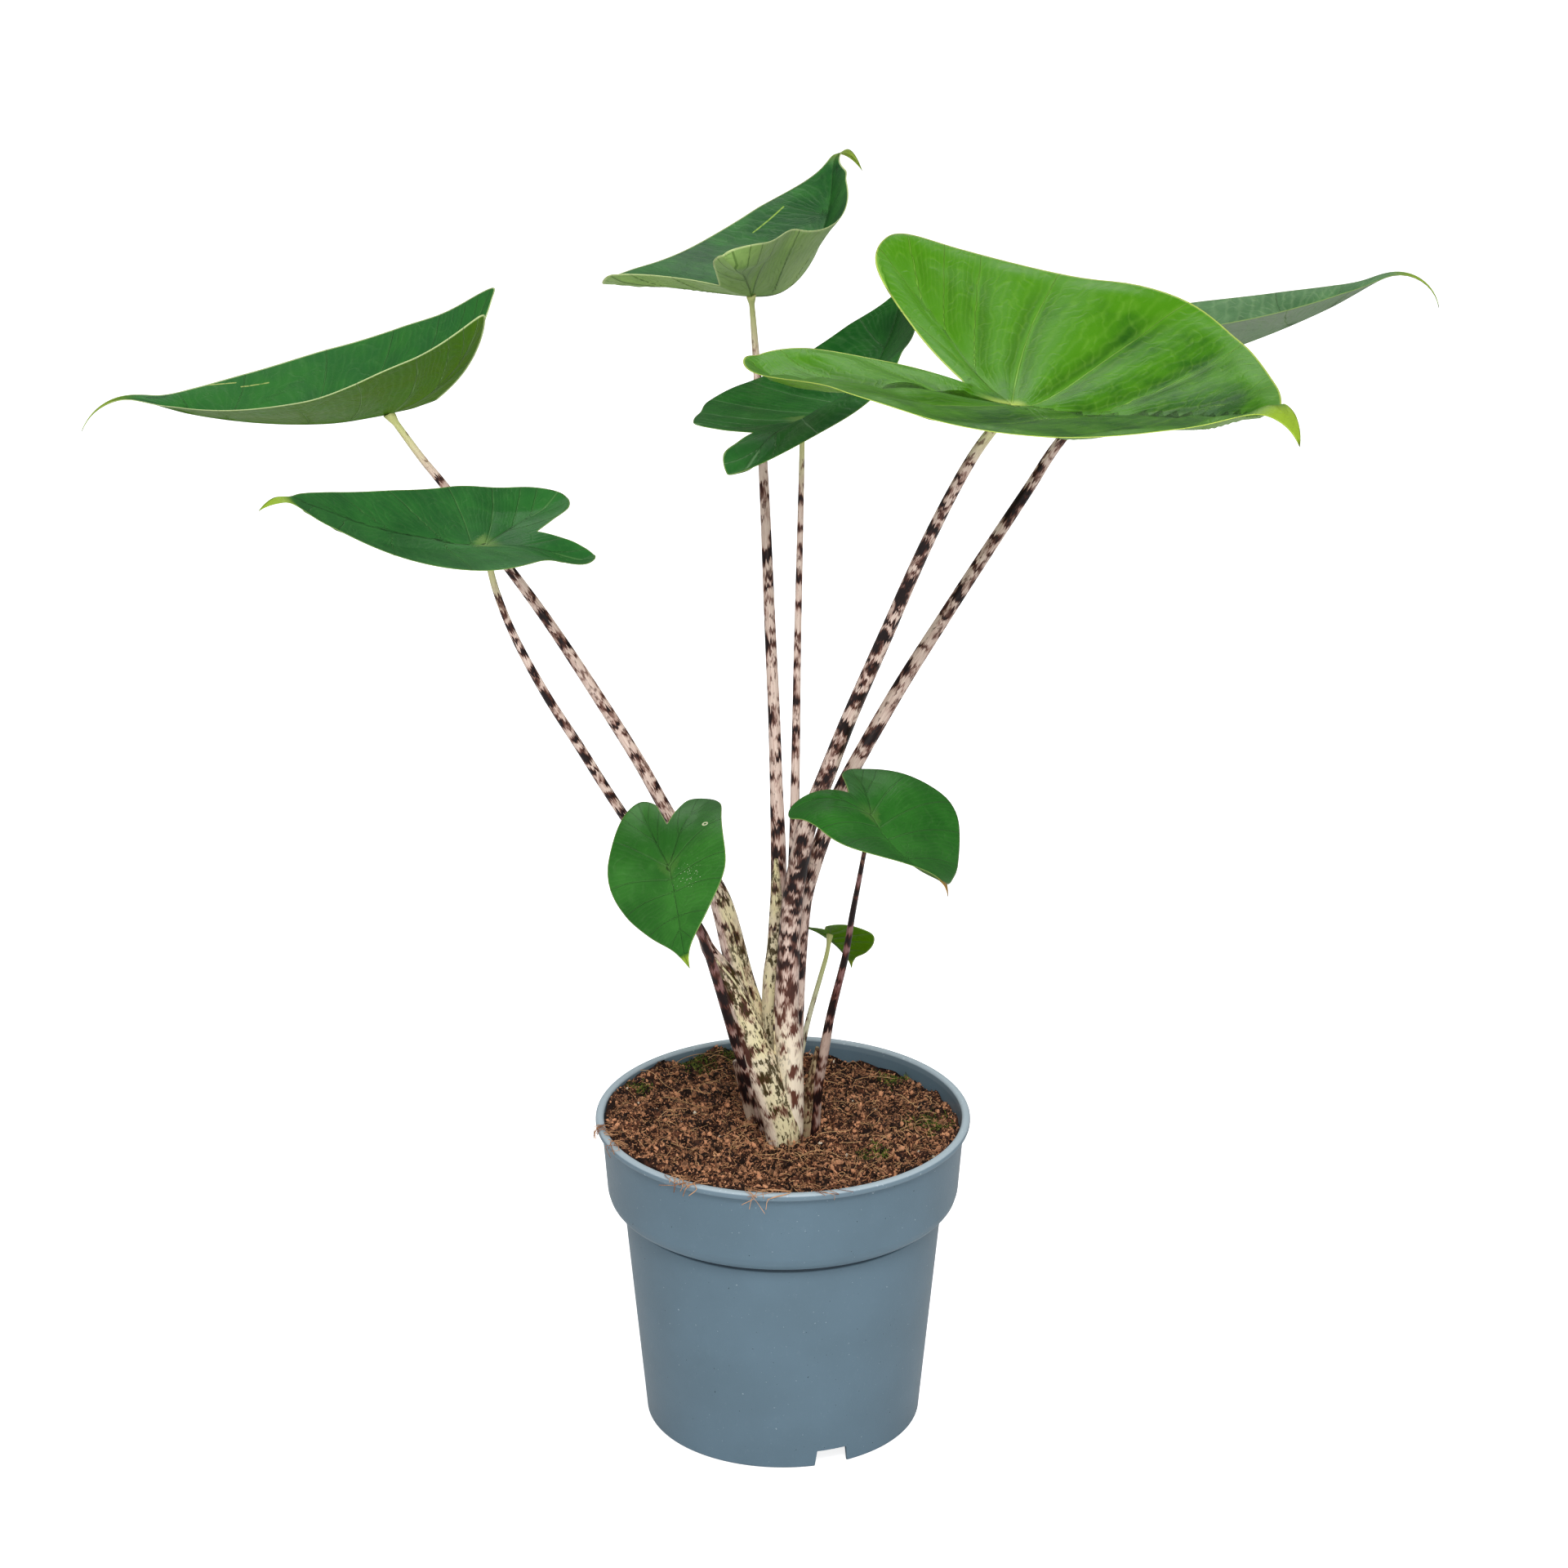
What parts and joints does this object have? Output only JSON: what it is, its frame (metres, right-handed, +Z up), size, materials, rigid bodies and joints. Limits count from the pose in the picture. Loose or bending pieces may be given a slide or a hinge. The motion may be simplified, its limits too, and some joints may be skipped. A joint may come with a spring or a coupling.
{
  "type": "potted alocasia zebrina",
  "caption": "Zebra-stalked alocasia with arrow-shaped leaves of mixed sizes in a blue-grey plastic nursery pot, filled with brown coir compost.",
  "frame": {"origin": "centre of the pot's foot, on the ground", "axes": "+Z up, +X to the viewer's right, +Y away from the viewer; the largest leaf is on the +X, -Y side"},
  "size_m": [0.5969, 0.4318, 0.5492],
  "materials": {
    "pot_plastic": "satin blue-grey",
    "compost": "damp reddish-brown coir",
    "corm_tissue": "dull pale brown",
    "leaf_tissue": "satin green leaf",
    "stalk_tissue": "satin, cream with dark bands",
    "dry_tissue": "matte papery brown"
  },
  "bodies": {
    "root": {"pot": "pot_plastic", "soil": "compost", "corm_and_roots": "corm_tissue", "upper_left_blade": "leaf_tissue", "lower_left_blade": "leaf_tissue", "top_blade": "leaf_tissue", "large_right_blade": "leaf_tissue", "far_right_blade": "leaf_tissue", "centre_blade": "leaf_tissue", "small_left_blade": "leaf_tissue", "small_right_blade": "leaf_tissue", "tiny_blade": "leaf_tissue", "upper_left_petiole": "stalk_tissue", "lower_left_petiole": "stalk_tissue", "top_petiole": "stalk_tissue", "large_right_petiole": "stalk_tissue", "far_right_petiole": "stalk_tissue", "centre_petiole": "stalk_tissue", "small_left_petiole": "stalk_tissue", "small_right_petiole": "stalk_tissue", "tiny_petiole": "stalk_tissue", "pointed_sheath": "stalk_tissue", "dry_sheath": "dry_tissue", "old_petiole_stub": "dry_tissue"}
  },
  "joints": []
}
